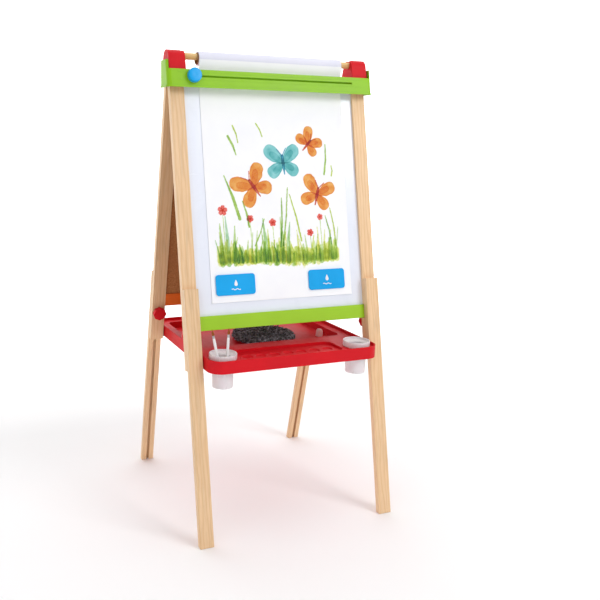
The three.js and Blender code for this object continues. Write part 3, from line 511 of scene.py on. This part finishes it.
class Painting:
    """Watercolour on the sheet: each stroke multiplies the paper's white by its pigment."""

    def __init__(self, across, up):
        self.x, self.y = np.meshgrid(across, up)
        shape = self.x.shape
        self.colour = np.ones((*shape, 3))
        self.cloud = smooth_noise(shape, (shape[0] // 9 + 1, shape[1] // 9 + 1), 11)
        self.grain = smooth_noise(shape, (shape[0] // 3 + 1, shape[1] // 3 + 1), 12)

    def lay(self, inside, rim, pigment, strength):
        """inside is 0 to 1, rim 0 to 1 where the wash dries darker."""
        body = inside * strength * (0.62 + 0.5 * self.cloud + 0.12 * self.grain) * (0.8 + 0.5 * rim)
        self.colour *= np.maximum(np.array(pigment), 0.02) ** np.clip(body, 0, 1.3)[..., None]

    def stroke(self, points, widths, pigment, strength=0.8, soft=0.9):
        """A brush stroke along a line, with its own width at each point."""
        best = np.full(self.x.shape, 1e9)
        for (ax, ay), (bx, by), wa, wb in zip(points, points[1:], widths, widths[1:]):
            reach = max(wa, wb) + 3
            near = ((self.x > min(ax, bx) - reach) & (self.x < max(ax, bx) + reach)
                    & (self.y > min(ay, by) - reach) & (self.y < max(ay, by) + reach))
            if not near.any():
                continue
            px, py = self.x[near] - ax, self.y[near] - ay
            dx, dy = bx - ax, by - ay
            t = np.clip((px * dx + py * dy) / (dx * dx + dy * dy + 1e-9), 0, 1)
            gap = np.hypot(px - t * dx, py - t * dy) - (wa + (wb - wa) * t)
            best[near] = np.minimum(best[near], gap)
        edge = best + 0.9 * (self.grain - 0.5) * min(1.0, max(widths))
        inside = np.clip(0.5 - edge / soft, 0, 1)
        rim = np.clip(1 + edge / 2.0, 0, 1)
        self.lay(inside, rim, pigment, strength)

    def petal(self, cx, cy, length, width, angle, pigment, strength=1.05):
        """A wing or petal that widens away from (cx, cy)."""
        c, s = math.cos(angle), math.sin(angle)
        u = ((self.x - cx) * c + (self.y - cy) * s) / length
        v = (-(self.x - cx) * s + (self.y - cy) * c) / width
        ripple = 0.10 * (self.cloud - 0.5)
        swell = np.clip(u, 0, 1) ** 0.75 * np.clip(1.04 - u, 0, 1) ** 0.42 * 1.35
        edge = (np.abs(v) - swell + ripple) * width
        edge = np.where((u < 0) | (u > 1.04), 9.0, edge)
        inside = np.clip(0.5 - edge / 1.1, 0, 1)
        rim = np.clip(1 + edge / 2.6, 0, 1)
        self.lay(inside, rim, pigment, strength)

    def butterfly(self, cx, cy, size, angle, wing, body, spread=1.0, feelers=True):
        wings = [(0.72, 0.62, 0.56), (2.36, 0.66, 0.58), (-0.66, 0.50, 0.52), (3.70, 0.54, 0.54)]
        for turn, length, width in wings:
            direction = angle + math.pi / 2 + (turn - math.pi / 2) * spread
            self.petal(cx, cy, length * size, width * size * 0.5, direction, wing)
            self.petal(cx, cy, length * size * 0.72, width * size * 0.24, direction + 0.06, wing, 0.4)
        up = (math.cos(angle + math.pi / 2), math.sin(angle + math.pi / 2))
        tail = (cx - up[0] * size * 0.3, cy - up[1] * size * 0.3)
        head = (cx + up[0] * size * 0.2, cy + up[1] * size * 0.2)
        self.stroke([tail, (cx, cy), head], [1.2, size * 0.05, size * 0.036], body, 1.1)
        for side in (-1, 1) if feelers else ():
            tip = (head[0] + up[0] * size * 0.2 + side * up[1] * size * 0.14,
                   head[1] + up[1] * size * 0.2 - side * up[0] * size * 0.14)
            self.stroke([head, tip], [0.9, 0.7], body, 0.9)

    def flower(self, cx, cy, size, turn, petals, heart):
        for k in range(5):
            self.petal(cx, cy, size, size * 0.6, turn + k * 2 * math.pi / 5, petals, 0.9)
        self.stroke([(cx, cy), (cx + 0.3, cy + 0.3)], [size * 0.26] * 2, heart, 0.9)


def paint(across, up):
    """A child's meadow: a band of grass, tall blades, small flowers and four butterflies."""
    sheet = Painting(across, up)
    rng = random.Random(7)
    greens = [rgb(160, 190, 36), rgb(132, 178, 56), rgb(182, 198, 64), rgb(120, 168, 56), rgb(190, 190, 44)]
    deep = [rgb(92, 156, 60), rgb(96, 162, 92), rgb(112, 164, 50)]
    ground = 88
    for x in np.arange(26, 328, 8.5):
        high = ground + rng.uniform(14, 30)
        sheet.stroke([(x, ground + rng.uniform(-2, 5)), (x + rng.uniform(-3, 3), high)], [6.2, 4.6],
                     rgb(206, 216, 92), rng.uniform(0.5, 0.75), 3.0)
    for x in np.arange(22, 328, 3.4):
        high = ground + rng.uniform(18, 44) + 8 * math.sin(x / 21)
        lean = rng.uniform(-4, 4)
        foot = ground - rng.uniform(-3, 7) + 5 * math.sin(x / 47)
        width = rng.uniform(3.0, 5.4)
        sheet.stroke([(x, foot), (x + lean * 0.4, (foot + high) / 2), (x + lean, high)],
                     [width, width * 0.95, 1.6], rng.choice(greens), rng.uniform(0.3, 0.55), 2.2)
    for x in np.arange(26, 324, 11.0):
        high = ground + rng.uniform(40, 78)
        lean = rng.uniform(-13, 13)
        width = rng.uniform(1.4, 3.2)
        sheet.stroke([(x, ground), (x + lean * 0.3, (ground + high) / 2), (x + lean, high)],
                     [width, width * 0.8, 0.5], rng.choice(greens + deep[:1]), rng.uniform(0.45, 0.7), 1.2)
    tufts = ((31, 176, -2, 5.0), (47, 192, -4, 4.6), (62, 170, 3, 4.2), (141, 186, -6, 4.6),
             (183, 188, -3, 5.4), (196, 176, 8, 4.4))
    for x, top, lean, width in tufts:
        waist = (ground + top) / 2
        sheet.stroke([(x, ground - 4), (x + lean * 0.2, waist), (x + lean, top)], [width, width * 0.85, 0.7],
                     rng.choice(deep), 0.5, 1.6)
    blades = (((79, 186), (46, 284), 3.4), ((101, 168), (88, 226), 2.2), ((113, 124), (139, 184), 1.3),
              ((184, 122), (203, 256), 1.5), ((178, 120), (186, 232), 2.0), ((232, 132), (207, 240), 1.7),
              ((311, 122), (298, 188), 1.5), ((323, 118), (312, 206), 1.5), ((61, 372), (79, 330), 2.4),
              ((74, 396), (85, 358), 1.5), ((132, 402), (146, 372), 1.2), ((302, 286), (309, 356), 2.0),
              ((321, 282), (322, 306), 1.3))
    for start, end, width in blades:
        bow = (start[0] * 0.5 + end[0] * 0.5 + 2.5, start[1] * 0.5 + end[1] * 0.5)
        green = rng.choice(greens[:2] + greens[3:4])
        sheet.stroke([start, bow, end], [width, width * 0.95, 0.9], green, 0.95, 1.2)
    orange, rust = rgb(226, 132, 34), rgb(190, 60, 24)
    teal, sea = rgb(96, 184, 184), rgb(40, 146, 176)
    sheet.butterfly(118, 258, 88, 0.62, orange, rust)
    sheet.butterfly(196, 312, 84, 0.10, teal, sea)
    sheet.butterfly(262, 356, 62, -0.75, orange, rust, 0.8)
    sheet.butterfly(280, 238, 80, -0.28, orange, rust)
    red, gold = rgb(222, 70, 56), rgb(244, 196, 66)
    blooms = ((38, 206, 11.5, 0.2), (104, 186, 8.5, 0.9), (160, 176, 9.0, 0.4), (256, 150, 8.5, 1.2),
              (284, 186, 7.5, 0.6))
    for cx, cy, size, turn in blooms:
        sheet.flower(cx, cy, size, turn, red, gold)
        sheet.stroke([(cx, cy - size), (cx + 2, ground + 20)], [0.7, 0.9], greens[1], 0.5)
    return np.clip(sheet.colour, 0, 1)


def sheet_profile():
    """The sheet's front line in local front axes, from its top to its lower edge, read off the CAD."""
    node = frame["nodes"]["paper_sheet"]
    rows = sorted({(round(p.y, 5), round(p.z, 5)) for p in (TO_FRONT @ v.co for v in node.data.vertices)},
                  key=lambda p: p[1])
    lower = min(rows[:2])
    upper = min(rows[-2:])
    bend = min(rows[2:-2])
    return Vector(upper), Vector(bend), Vector(lower)


def painted_sheet():
    upper, bend, lower = sheet_profile()
    low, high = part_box("paper_sheet")
    free = (upper - bend).length
    flat = (bend - lower).length
    fine_low, fine_high = 74.0, 410.0  # millimetres above the lower edge, where the painting is
    downs = list(np.arange(0, fine_low, 6.0)) + list(np.arange(fine_low, fine_high, SHEET_STEP))
    downs += list(np.linspace(fine_high, flat / MM, 12))
    downs += [flat / MM + free / MM * k / 8 for k in range(1, 9)]
    up = np.array(downs)
    across = np.arange(0, SHEET_W + 0.01, SHEET_STEP)
    ink = paint(across, up)
    points = []
    for distance in up:
        d = distance * MM
        if d <= flat:
            at = lower + (bend - lower) * (d / flat)
        else:
            at = bend + (upper - bend) * ((d - flat) / free)
        for x in across:
            edge = min(x, SHEET_W - x)
            curl = 1.5 * math.exp(-distance / 5.0) * (0.6 + 0.4 * math.cos(x / 57))
            lift = curl + 0.7 * math.exp(-edge / 3.0)
            fade = min(1.0, max(0.0, (flat - d) / (60 * MM)))
            points.append(FRONT @ Vector((low.x + x * MM, at.x - lift * fade * MM, at.y)))
    rows, cols = len(up), len(across)
    faces = [(r * cols + c, r * cols + c + 1, (r + 1) * cols + c + 1, (r + 1) * cols + c)
             for r in range(rows - 1) for c in range(cols - 1)]
    back = len(points)
    backs = []
    for distance in (0.0, flat / 2, flat, flat + free):
        at = lower + (bend - lower) * (min(distance, flat) / flat)
        if distance > flat:
            at = upper
        for x in (low.x, high.x):
            backs.append(FRONT @ Vector((x, at.x + 0.25 * MM, at.y)))
    points += backs
    for k in range(3):
        a = back + 2 * k
        faces.append((a + 1, a, a + 2, a + 3))
    last = (rows - 1) * cols
    faces.append(tuple([back + 1, back] + [c for c in range(cols)]))
    faces.append(tuple([back + 6, back + 7] + [last + c for c in range(cols - 1, -1, -1)]))
    left = [r * cols for r in range(rows)]
    right = [r * cols + cols - 1 for r in range(rows)]
    faces.append(tuple([back, back + 2, back + 4, back + 6] + left[::-1])[::-1])
    faces.append(tuple([back + 7, back + 5, back + 3, back + 1] + right)[::-1])
    mesh = mesh_from("painted_sheet", points, faces)
    pigment = mesh.attributes.new("pigment", "FLOAT_COLOR", "POINT")
    values = np.ones((len(mesh.vertices), 4), np.float32)
    values[: rows * cols, :3] = ink.reshape(-1, 3)
    pigment.data.foreach_set("color", values.ravel())
    return mesh


add_piece("painted_sheet", painted_sheet(), "front_frame", PAINTED, "paper_sheet")


# ---------- cups and lids ----------
def cup_places():
    for hand in ("left", "right"):
        low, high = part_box(hand + "_cup")
        yield hand, Vector(((low.x + high.x) / 2, (low.y + high.y) / 2, 0)), low.z, high.z


def cup_mesh(name, centre, floor, top):
    rim, base, wall = 0.025, 0.023, 0.0016
    flange, thick = 0.030, 0.0020
    neck = 0.0022
    shoulder = top - neck - thick
    outline = [(0, floor + 0.0012), (base * 0.72, floor + 0.0012, 0.0004), (base * 0.8, floor, 0.0006),
               (base, floor, 0.0022), (base + 0.0019, shoulder - 0.0002, 0), (rim, shoulder, 0),
               (flange, shoulder), (flange, shoulder + thick), (rim, shoulder + thick, 0.0004),
               (rim, top), (rim - wall, top),
               (rim - wall, shoulder - 0.002, 0.001), (base - wall, floor + 2 * wall, 0.0018),
               (0, floor + 2 * wall - 0.0003)]

    def ribs(turn, height):
        inside_band = floor + 0.008 < height < shoulder - 0.006
        return 0.00025 * math.cos(12 * turn) if inside_band else 0.0

    return lathe(name, rounded(outline, 0.0007), centre, (0, 0, 1), 96, ribs)


def lid_mesh(name, centre, low, high, outer):
    wall, neck, hole, tall = 0.002, 0.0253, 0.0175, 0.0115
    collar = high - tall
    shelf = collar + 0.0022
    outline = [(neck, collar, 0), (outer, collar, 0.0008), (outer, high, 0.0009),
               (outer - wall, high, 0.0009), (outer - wall, shelf + 2 * wall, 0.0012),
               (hole + 0.0012, shelf + wall + 0.0003, 0.0012),
               (hole, shelf + 0.0004, 0.0012), (hole, low, 0.0006), (hole + wall, low, 0.0006),
               (hole + wall, shelf, 0.0006), (neck, shelf, 0.0004), (neck, collar, 0)]
    return lathe(name, rounded(outline, 0.0007), centre, (0, 0, 1), 96)


for hand, centre, floor, top in cup_places():
    add_piece(hand + "_cup_body", cup_mesh(hand + "_cup_body", centre, floor, top), hand + "_cup",
              LOOKS["clear_plastic"], hand + "_cup")
    low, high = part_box(hand + "_cup_lid")
    collar = lid_mesh(hand + "_cup_collar", centre, low.z, high.z, (high.x - low.x) / 2)
    add_piece(hand + "_cup_collar", collar, hand + "_cup", LOOKS["clear_plastic"], hand + "_cup_lid")


# ---------- brushes ----------
def axis_ends(node):
    """Ends of a long thin turned node's centre line."""
    points = np.array([v.co for v in frame["nodes"][node].data.vertices])
    mean = points.mean(0)
    _, _, axes = np.linalg.svd(points - mean, full_matrices=False)
    axis = axes[0] if axes[0][2] > 0 else -axes[0]
    along = (points - mean) @ axis
    return Vector(mean + axis * along.min()), Vector(mean + axis * along.max())


def brush(name):
    foot, shoulder = axis_ends(name + "_handle")
    start, tip = axis_ends(name + "_bristles")
    length = (shoulder - foot).length
    ferrule = 0.006
    outline = [(0, 0), (0.0020, 0), (0.0027, 0.0010), (0.0029, 0.012), (0.0030, length * 0.45),
               (0.0030, length * 0.75), (0.0029, length - ferrule - 0.004), (0.0024, length - ferrule),
               (0.0022, length - ferrule + 0.0003), (0, length - ferrule + 0.0003)]
    add_piece(name + "_shaft", lathe(name + "_shaft", outline, foot, shoulder - foot, 40), name,
              LOOKS["white_plastic"], name + "_handle")
    crimp = [(0.0021, length - ferrule - 0.0004), (0.0026, length - ferrule - 0.0004),
             (0.0027, length - ferrule), (0.0027, length - ferrule + 0.003),
             (0.0024, length - ferrule + 0.0035),
             (0.0024, length - ferrule + 0.0045), (0.0027, length - ferrule + 0.005),
             (0.0028, length - 0.001), (0.0027, length), (0.0018, length), (0.0018, length - 0.002),
             (0.0021, length - ferrule - 0.0004)]
    add_piece(name + "_ferrule", lathe(name + "_ferrule", crimp, foot, shoulder - foot, 40), name,
              LOOKS["steel"])
    rng = random.Random(len(name) * 17)
    axis, side, other = frame_along(tip - start)
    reach = (tip - start).length
    points, faces = [], []
    for _ in range(150):
        turn, spread = rng.uniform(0, 2 * math.pi), math.sqrt(rng.random())
        radial = side * math.cos(turn) + other * math.sin(turn)
        full = reach * rng.uniform(0.93, 1.0) * (1 - 0.22 * spread ** 2)
        rings = []
        for k in range(5):
            t = k / 4
            width = spread * (0.0019 + 0.0011 * math.sin(math.pi * min(1, t * 1.1))) * (1 - 0.72 * t ** 3)
            centre = start - axis * 0.0022 + axis * ((full + 0.0018) * t) + radial * width
            thick = 0.00022 * (1 - 0.6 * t)
            ring = []
            for n in range(4):
                a = turn + n * math.pi / 2
                ring.append(len(points))
                points.append(centre + (side * math.cos(a) + other * math.sin(a)) * thick)
            rings.append(ring)
        for lower, upper in zip(rings, rings[1:]):
            faces += [(lower[n], lower[(n + 1) % 4], upper[(n + 1) % 4], upper[n]) for n in range(4)]
        faces += [tuple(rings[0][::-1]), tuple(rings[-1])]
    add_piece(name + "_tuft", mesh_from(name + "_tuft", points, faces), name, LOOKS["bristle"],
              name + "_bristles", 60)


brush("left_brush")
brush("right_brush")


# ---------- the duster: a round pad covered in chenille loops ----------
def duster():
    low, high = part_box("duster_pad")
    centre = Vector(((low.x + high.x) / 2, (low.y + high.y) / 2, low.z))
    radius, height = (high.x - low.x) / 2, high.z - low.z
    rng = random.Random(5)
    points, faces = [], []
    ring = 6

    def dome(share):
        return height * (0.86 - 0.42 * share ** 3)

    def noodle(base, lean, length, thick):
        up = Vector((0, 0, 1))
        steps = 6
        direction = (up * 0.42 + lean).normalized()
        sideways = direction.cross(up)
        if sideways.length < 1e-4:
            sideways = Vector((1, 0, 0))
        sideways.normalize()
        rings = []
        at = base.copy()
        bend = (lean.normalized() if lean.length > 1e-5 else sideways) * rng.uniform(0.15, 0.5)
        for k in range(steps + 1):
            t = k / steps
            local = thick * (0.75 + 0.35 * math.sin(math.pi * min(1.0, t * 1.05)))
            local *= 1.0 if k < steps else 0.45
            local *= 1 + 0.12 * (1 if k % 2 else -1)
            axis, a, b = frame_along(direction)
            ids = []
            for n in range(ring):
                turn = 2 * math.pi * n / ring
                ids.append(len(points))
                points.append(at + a * (local * math.cos(turn)) + b * (local * math.sin(turn)))
            rings.append(ids)
            at = at + direction * (length / steps)
            direction = (direction + bend * 0.22 - up * 0.06).normalized()
        for lower, upper in zip(rings, rings[1:]):
            for n in range(ring):
                m = (n + 1) % ring
                faces.append((lower[n], lower[m], upper[m], upper[n]))
        faces.append(tuple(rings[0][::-1]))
        faces.append(tuple(rings[-1]))

    golden = math.pi * (3 - math.sqrt(5))
    count, skirt = 1150, 300  # loops over the dome, and round its edge
    for i in range(count):
        share = math.sqrt((i + 0.5) / count)
        turn = i * golden + rng.uniform(-0.12, 0.12)
        out = Vector((math.cos(turn), math.sin(turn), 0))
        reach = (radius - 0.010) * share
        swirl = Vector((-out.y, out.x, 0)) * rng.uniform(-0.9, 0.9)
        stray = Vector((rng.uniform(-0.5, 0.5), rng.uniform(-0.5, 0.5), 0))
        lean = out * (0.25 + 1.1 * share ** 2) + swirl + stray
        foot = centre + out * reach + Vector((0, 0, dome(share) - 0.0105))
        noodle(foot, lean, rng.uniform(0.012, 0.0165), rng.uniform(0.0012, 0.0017))
    for i in range(skirt):
        turn = i * 2 * math.pi / skirt + rng.uniform(-0.03, 0.03)
        out = Vector((math.cos(turn), math.sin(turn), 0))
        level = rng.uniform(0.003, 0.016)
        foot = centre + out * (radius - 0.0125) + Vector((0, 0, level))
        noodle(foot, out * 2.4 + Vector((rng.uniform(-0.4, 0.4), rng.uniform(-0.4, 0.4), 0)),
               rng.uniform(0.0095, 0.0125), rng.uniform(0.0013, 0.0018))
    core = [(0, 0.0004), (radius - 0.012, 0.0004), (radius - 0.010, 0.012, 0.004),
            (radius * 0.72, dome(0.72) - 0.010, 0.01), (0, dome(0) - 0.010)]
    base = lathe("duster_base", rounded(core, 0.002, 4), centre, (0, 0, 1), 48)
    start = len(points)
    points.extend(v.co.copy() for v in base.vertices)
    faces.extend(tuple(start + i for i in p.vertices) for p in base.polygons)
    for p in points:
        p.z = min(max(p.z, low.z + 0.0002), high.z)
        flat = Vector((p.x - centre.x, p.y - centre.y))
        if flat.length > radius:
            flat *= radius / flat.length
            p.x, p.y = centre.x + flat.x, centre.y + flat.y
    return mesh_from("duster_chenille", points, faces)


pad = add_piece("duster_chenille", duster(), "duster", LOOKS["duster_pile"], "duster_pad", 60)


# ---------- chalk stub, cutter knob, magnet emblems, header beads ----------
def chalk():
    low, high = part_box("chalk_stub")
    centre = Vector(((low.x + high.x) / 2, (low.y + high.y) / 2, low.z))
    radius, height = (high.x - low.x) / 2, high.z - low.z
    outline = rounded([(0, 0), (radius, 0, 0.0008), (radius, height * 0.4, 0),
                       (radius - 0.0006, height * 0.78, 0.003),
                       (radius - 0.0035, height, 0.0022), (0, height - 0.0006)], 0.001, 5)

    def worn(turn, up):
        rubbed = 0.0005 * max(0.0, math.sin(turn + 0.8)) * (up / height) ** 2
        return -rubbed - 0.00008 * (1 + math.sin(9 * turn))

    return lathe("chalk_worn", outline, centre, (0, 0, 1), 56, worn)


add_piece("chalk_worn", chalk(), "chalk", LOOKS["chalk"], "chalk_stub")


def cutter_knob():
    node = frame["nodes"]["cutter_knob"]
    points = [TO_FRONT @ v.co for v in node.data.vertices]
    xs, ys, zs = ([p[i] for p in points] for i in range(3))
    radius = (max(xs) - min(xs)) / 2
    centre = Vector(((max(xs) + min(xs)) / 2, max(ys), (max(zs) + min(zs)) / 2))
    depth = max(ys) - min(ys)
    outline = rounded([(0.0024, 0), (radius, 0, 0.0009), (radius, depth - 0.0006, 0.0026),
                       (radius * 0.45, depth, 0.004), (0, depth - 0.0003)], 0.0008, 6)
    made = lathe("cutter_knob_round", outline, centre, (0, -1, 0), 72)
    made.transform(FRONT)
    return made


add_piece("cutter_knob_round", cutter_knob(), "cutter", LOOKS["blue_plastic"], "cutter_knob")


def face_out(mesh):
    """Turns every face of a closed mesh outwards."""
    made = bmesh.new()
    made.from_mesh(mesh)
    bmesh.ops.recalc_face_normals(made, faces=made.faces)
    made.to_mesh(mesh)
    made.free()
    return mesh


def ribbon(name, line, half, lift, height):
    """A flat raised strip along a closed or open line in local front axes (x, z), standing on y = lift."""
    points, faces = [], []
    for k, (x, z) in enumerate(line):
        before = Vector(line[max(k - 1, 0)])
        after = Vector(line[min(k + 1, len(line) - 1)])
        across = Vector((-(after - before).y, (after - before).x)).normalized()
        for side, y in ((-1, lift), (-0.7, lift - height), (0.7, lift - height), (1, lift)):
            spot = Vector((x, z)) + across * (side * half)
            points.append(FRONT @ Vector((spot.x, y, spot.y)))
    for k in range(len(line) - 1):
        a, b = 4 * k, 4 * (k + 1)
        faces += [(a + n, a + (n + 1) % 4, b + (n + 1) % 4, b + n) for n in range(4)]
    end = 4 * (len(line) - 1)
    faces += [(0, 3, 2, 1), (end, end + 1, end + 2, end + 3)]
    return face_out(mesh_from(name, points, faces))


def emblem(name, cx, cz, lift):
    """A generic paint drop with a small wave under it."""
    size = 0.0085
    outline = []
    for k in range(49):
        t = 2 * math.pi * k / 48
        x = size * 0.62 * math.sin(t) * math.sin(t / 2) ** 1.4
        z = size * math.cos(t)
        outline.append((cx + x, cz + 0.004 + z * 0.85))
    points, faces = [], []
    for x, z in outline[:-1]:
        points.append(FRONT @ Vector((x, lift - 0.00012, z)))
    for x, z in outline[:-1]:
        points.append(FRONT @ Vector((x, lift + 0.0001, z)))
    n = len(outline) - 1
    faces.append(tuple(range(n)))
    faces.append(tuple(range(2 * n - 1, n - 1, -1)))
    faces += [(k, (k + 1) % n, n + (k + 1) % n, n + k) for k in range(n)]
    start = len(points)
    wave = [(cx - 0.011 + 0.022 * k / 24, cz - 0.0105 + 0.0012 * math.sin(k / 24 * 4 * math.pi))
            for k in range(25)]
    strip = ribbon(name + "_wave", wave, 0.0009, lift + 0.0001, 0.00022)
    points += [v.co.copy() for v in strip.vertices]
    faces += [tuple(start + i for i in p.vertices) for p in strip.polygons]
    return face_out(mesh_from(name, points, faces))


for hand in ("left", "right"):
    points = [TO_FRONT @ v.co for v in frame["nodes"][hand + "_magnet"].data.vertices]
    cx = sum(p.x for p in points) / len(points)
    cz = (max(p.z for p in points) + min(p.z for p in points)) / 2
    face = min(p.y for p in points)
    made = add_piece(hand + "_magnet_emblem", emblem(hand + "_magnet_emblem", cx, cz, face), hand + "_magnet",
                     LOOKS["white_plastic"])

HEADER_FACE = 0.0345  # of the header's front, out from the frame's inner face
SLOT_DOWN = 0.0117  # of the cutter slot below the apex
BEAD_AWAY, BEAD_SHORT = 0.0078, 0.026  # of each bead from the slot, and from the header's ends
for label, side in (("upper", -1), ("lower", 1)):
    low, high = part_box("cutter_header")
    span = (high.x - low.x) / 2 - BEAD_SHORT
    line = [(-span + 2 * span * k / 24, -(SLOT_DOWN + side * BEAD_AWAY)) for k in range(25)]
    name = f"header_{label}_bead"
    bead = ribbon(name, line, 0.0007, -HEADER_FACE + 0.0003, 0.0006)
    add_piece(name, bead, "front_frame", LOOKS["green_plastic"])


# ---------- floor, light, camera ----------
def backdrop():
    """A pale floor that sweeps up into a wall far behind."""
    points, faces = [], []
    line = [(-9.0, 0.0), (2.5, 0.0)] + [(2.5 + 2.2 * math.sin(a), 2.2 - 2.2 * math.cos(a))
                                        for a in np.linspace(0, math.pi / 2, 14)[1:]] + [(4.7, 7.0)]
    for y, z in line:
        points += [(-9.0, y, z), (9.0, y, z)]
    for k in range(len(line) - 1):
        faces.append((2 * k, 2 * k + 1, 2 * k + 3, 2 * k + 2))
    mesh = mesh_from("backdrop", points, faces)
    mesh.polygons.foreach_set("use_smooth", [True] * len(mesh.polygons))
    made = bpy.data.objects.new("backdrop", mesh)
    bpy.context.scene.collection.objects.link(made)
    look = Look("backdrop_paper", Roughness=0.9, Specular_IOR_Level=0.1)
    cloud = look.noise(look.place(), 0.7, 2.0)
    depth = look.node("SeparateXYZ", {"Vector": look.origin.outputs["Object"]}).outputs["Y"]
    look.shader.inputs["Emission Color"].default_value = (1, 1, 1, 1)
    look.finish(Base_Color=look.mix(cloud, (0.93, 0.93, 0.94), (0.95, 0.95, 0.95)),
                Emission_Strength=look.spread(depth, 0.5, 2.6, 0.0, 0.9))
    mesh.materials.append(look.made)
    made.location.z = -0.0004


backdrop()


def lamp(name, place, target, size, power, colour=(1, 1, 1)):
    data = bpy.data.lights.new(name, "AREA")
    data.shape = "RECTANGLE"
    data.size, data.size_y = size
    data.energy = power
    data.color = colour
    made = bpy.data.objects.new(name, data)
    made.location = place
    made.rotation_mode = "QUATERNION"
    made.rotation_quaternion = (Vector(target) - Vector(place)).to_track_quat("-Z", "Y")
    bpy.context.scene.collection.objects.link(made)


lamp("key", (1.7, -2.5, 2.5), (0, 0, 0.55), (1.5, 1.5), 44)
lamp("fill", (-2.6, -2.4, 1.5), (0, 0, 0.5), (2.2, 2.2), 15)
lamp("top", (0.2, 0.4, 3.4), (0, 0, 0.2), (3.0, 3.0), 32)
world = bpy.data.worlds.new("studio")
world.use_nodes = True
world.node_tree.nodes["Background"].inputs["Color"].default_value = (1, 1, 1, 1)
world.node_tree.nodes["Background"].inputs["Strength"].default_value = 0.5
bpy.context.scene.world = world
bpy.context.scene.view_settings.view_transform = "Standard"


def camera(place, yaw, pitch, roll, focal, off_centre):
    """Angles in degrees: yaw to the left of +Y, pitch up, roll clockwise. Focal length in picture widths."""
    a, e, r = (math.radians(v) for v in (yaw, pitch, roll))
    ahead = Vector((-math.sin(a) * math.cos(e), math.cos(a) * math.cos(e), math.sin(e)))
    right = ahead.cross(Vector((0, 0, 1))).normalized()
    up = right.cross(ahead)
    turned = right * math.cos(r) + up * math.sin(r), up * math.cos(r) - right * math.sin(r)
    data = bpy.data.cameras.new("camera")
    data.sensor_width = 36
    data.lens = 36 * focal
    data.shift_x = off_centre
    made = bpy.data.objects.new("camera", data)
    facing = Matrix((turned[0], turned[1], -ahead)).transposed().to_4x4()
    made.matrix_world = Matrix.Translation(place) @ facing
    bpy.context.scene.collection.objects.link(made)
    bpy.context.scene.camera = made


camera(place=(-0.7251, -1.5178, 0.8536), yaw=-20.51, pitch=-12.32, roll=0.64,
       focal=1.1594167, off_centre=0.1637)
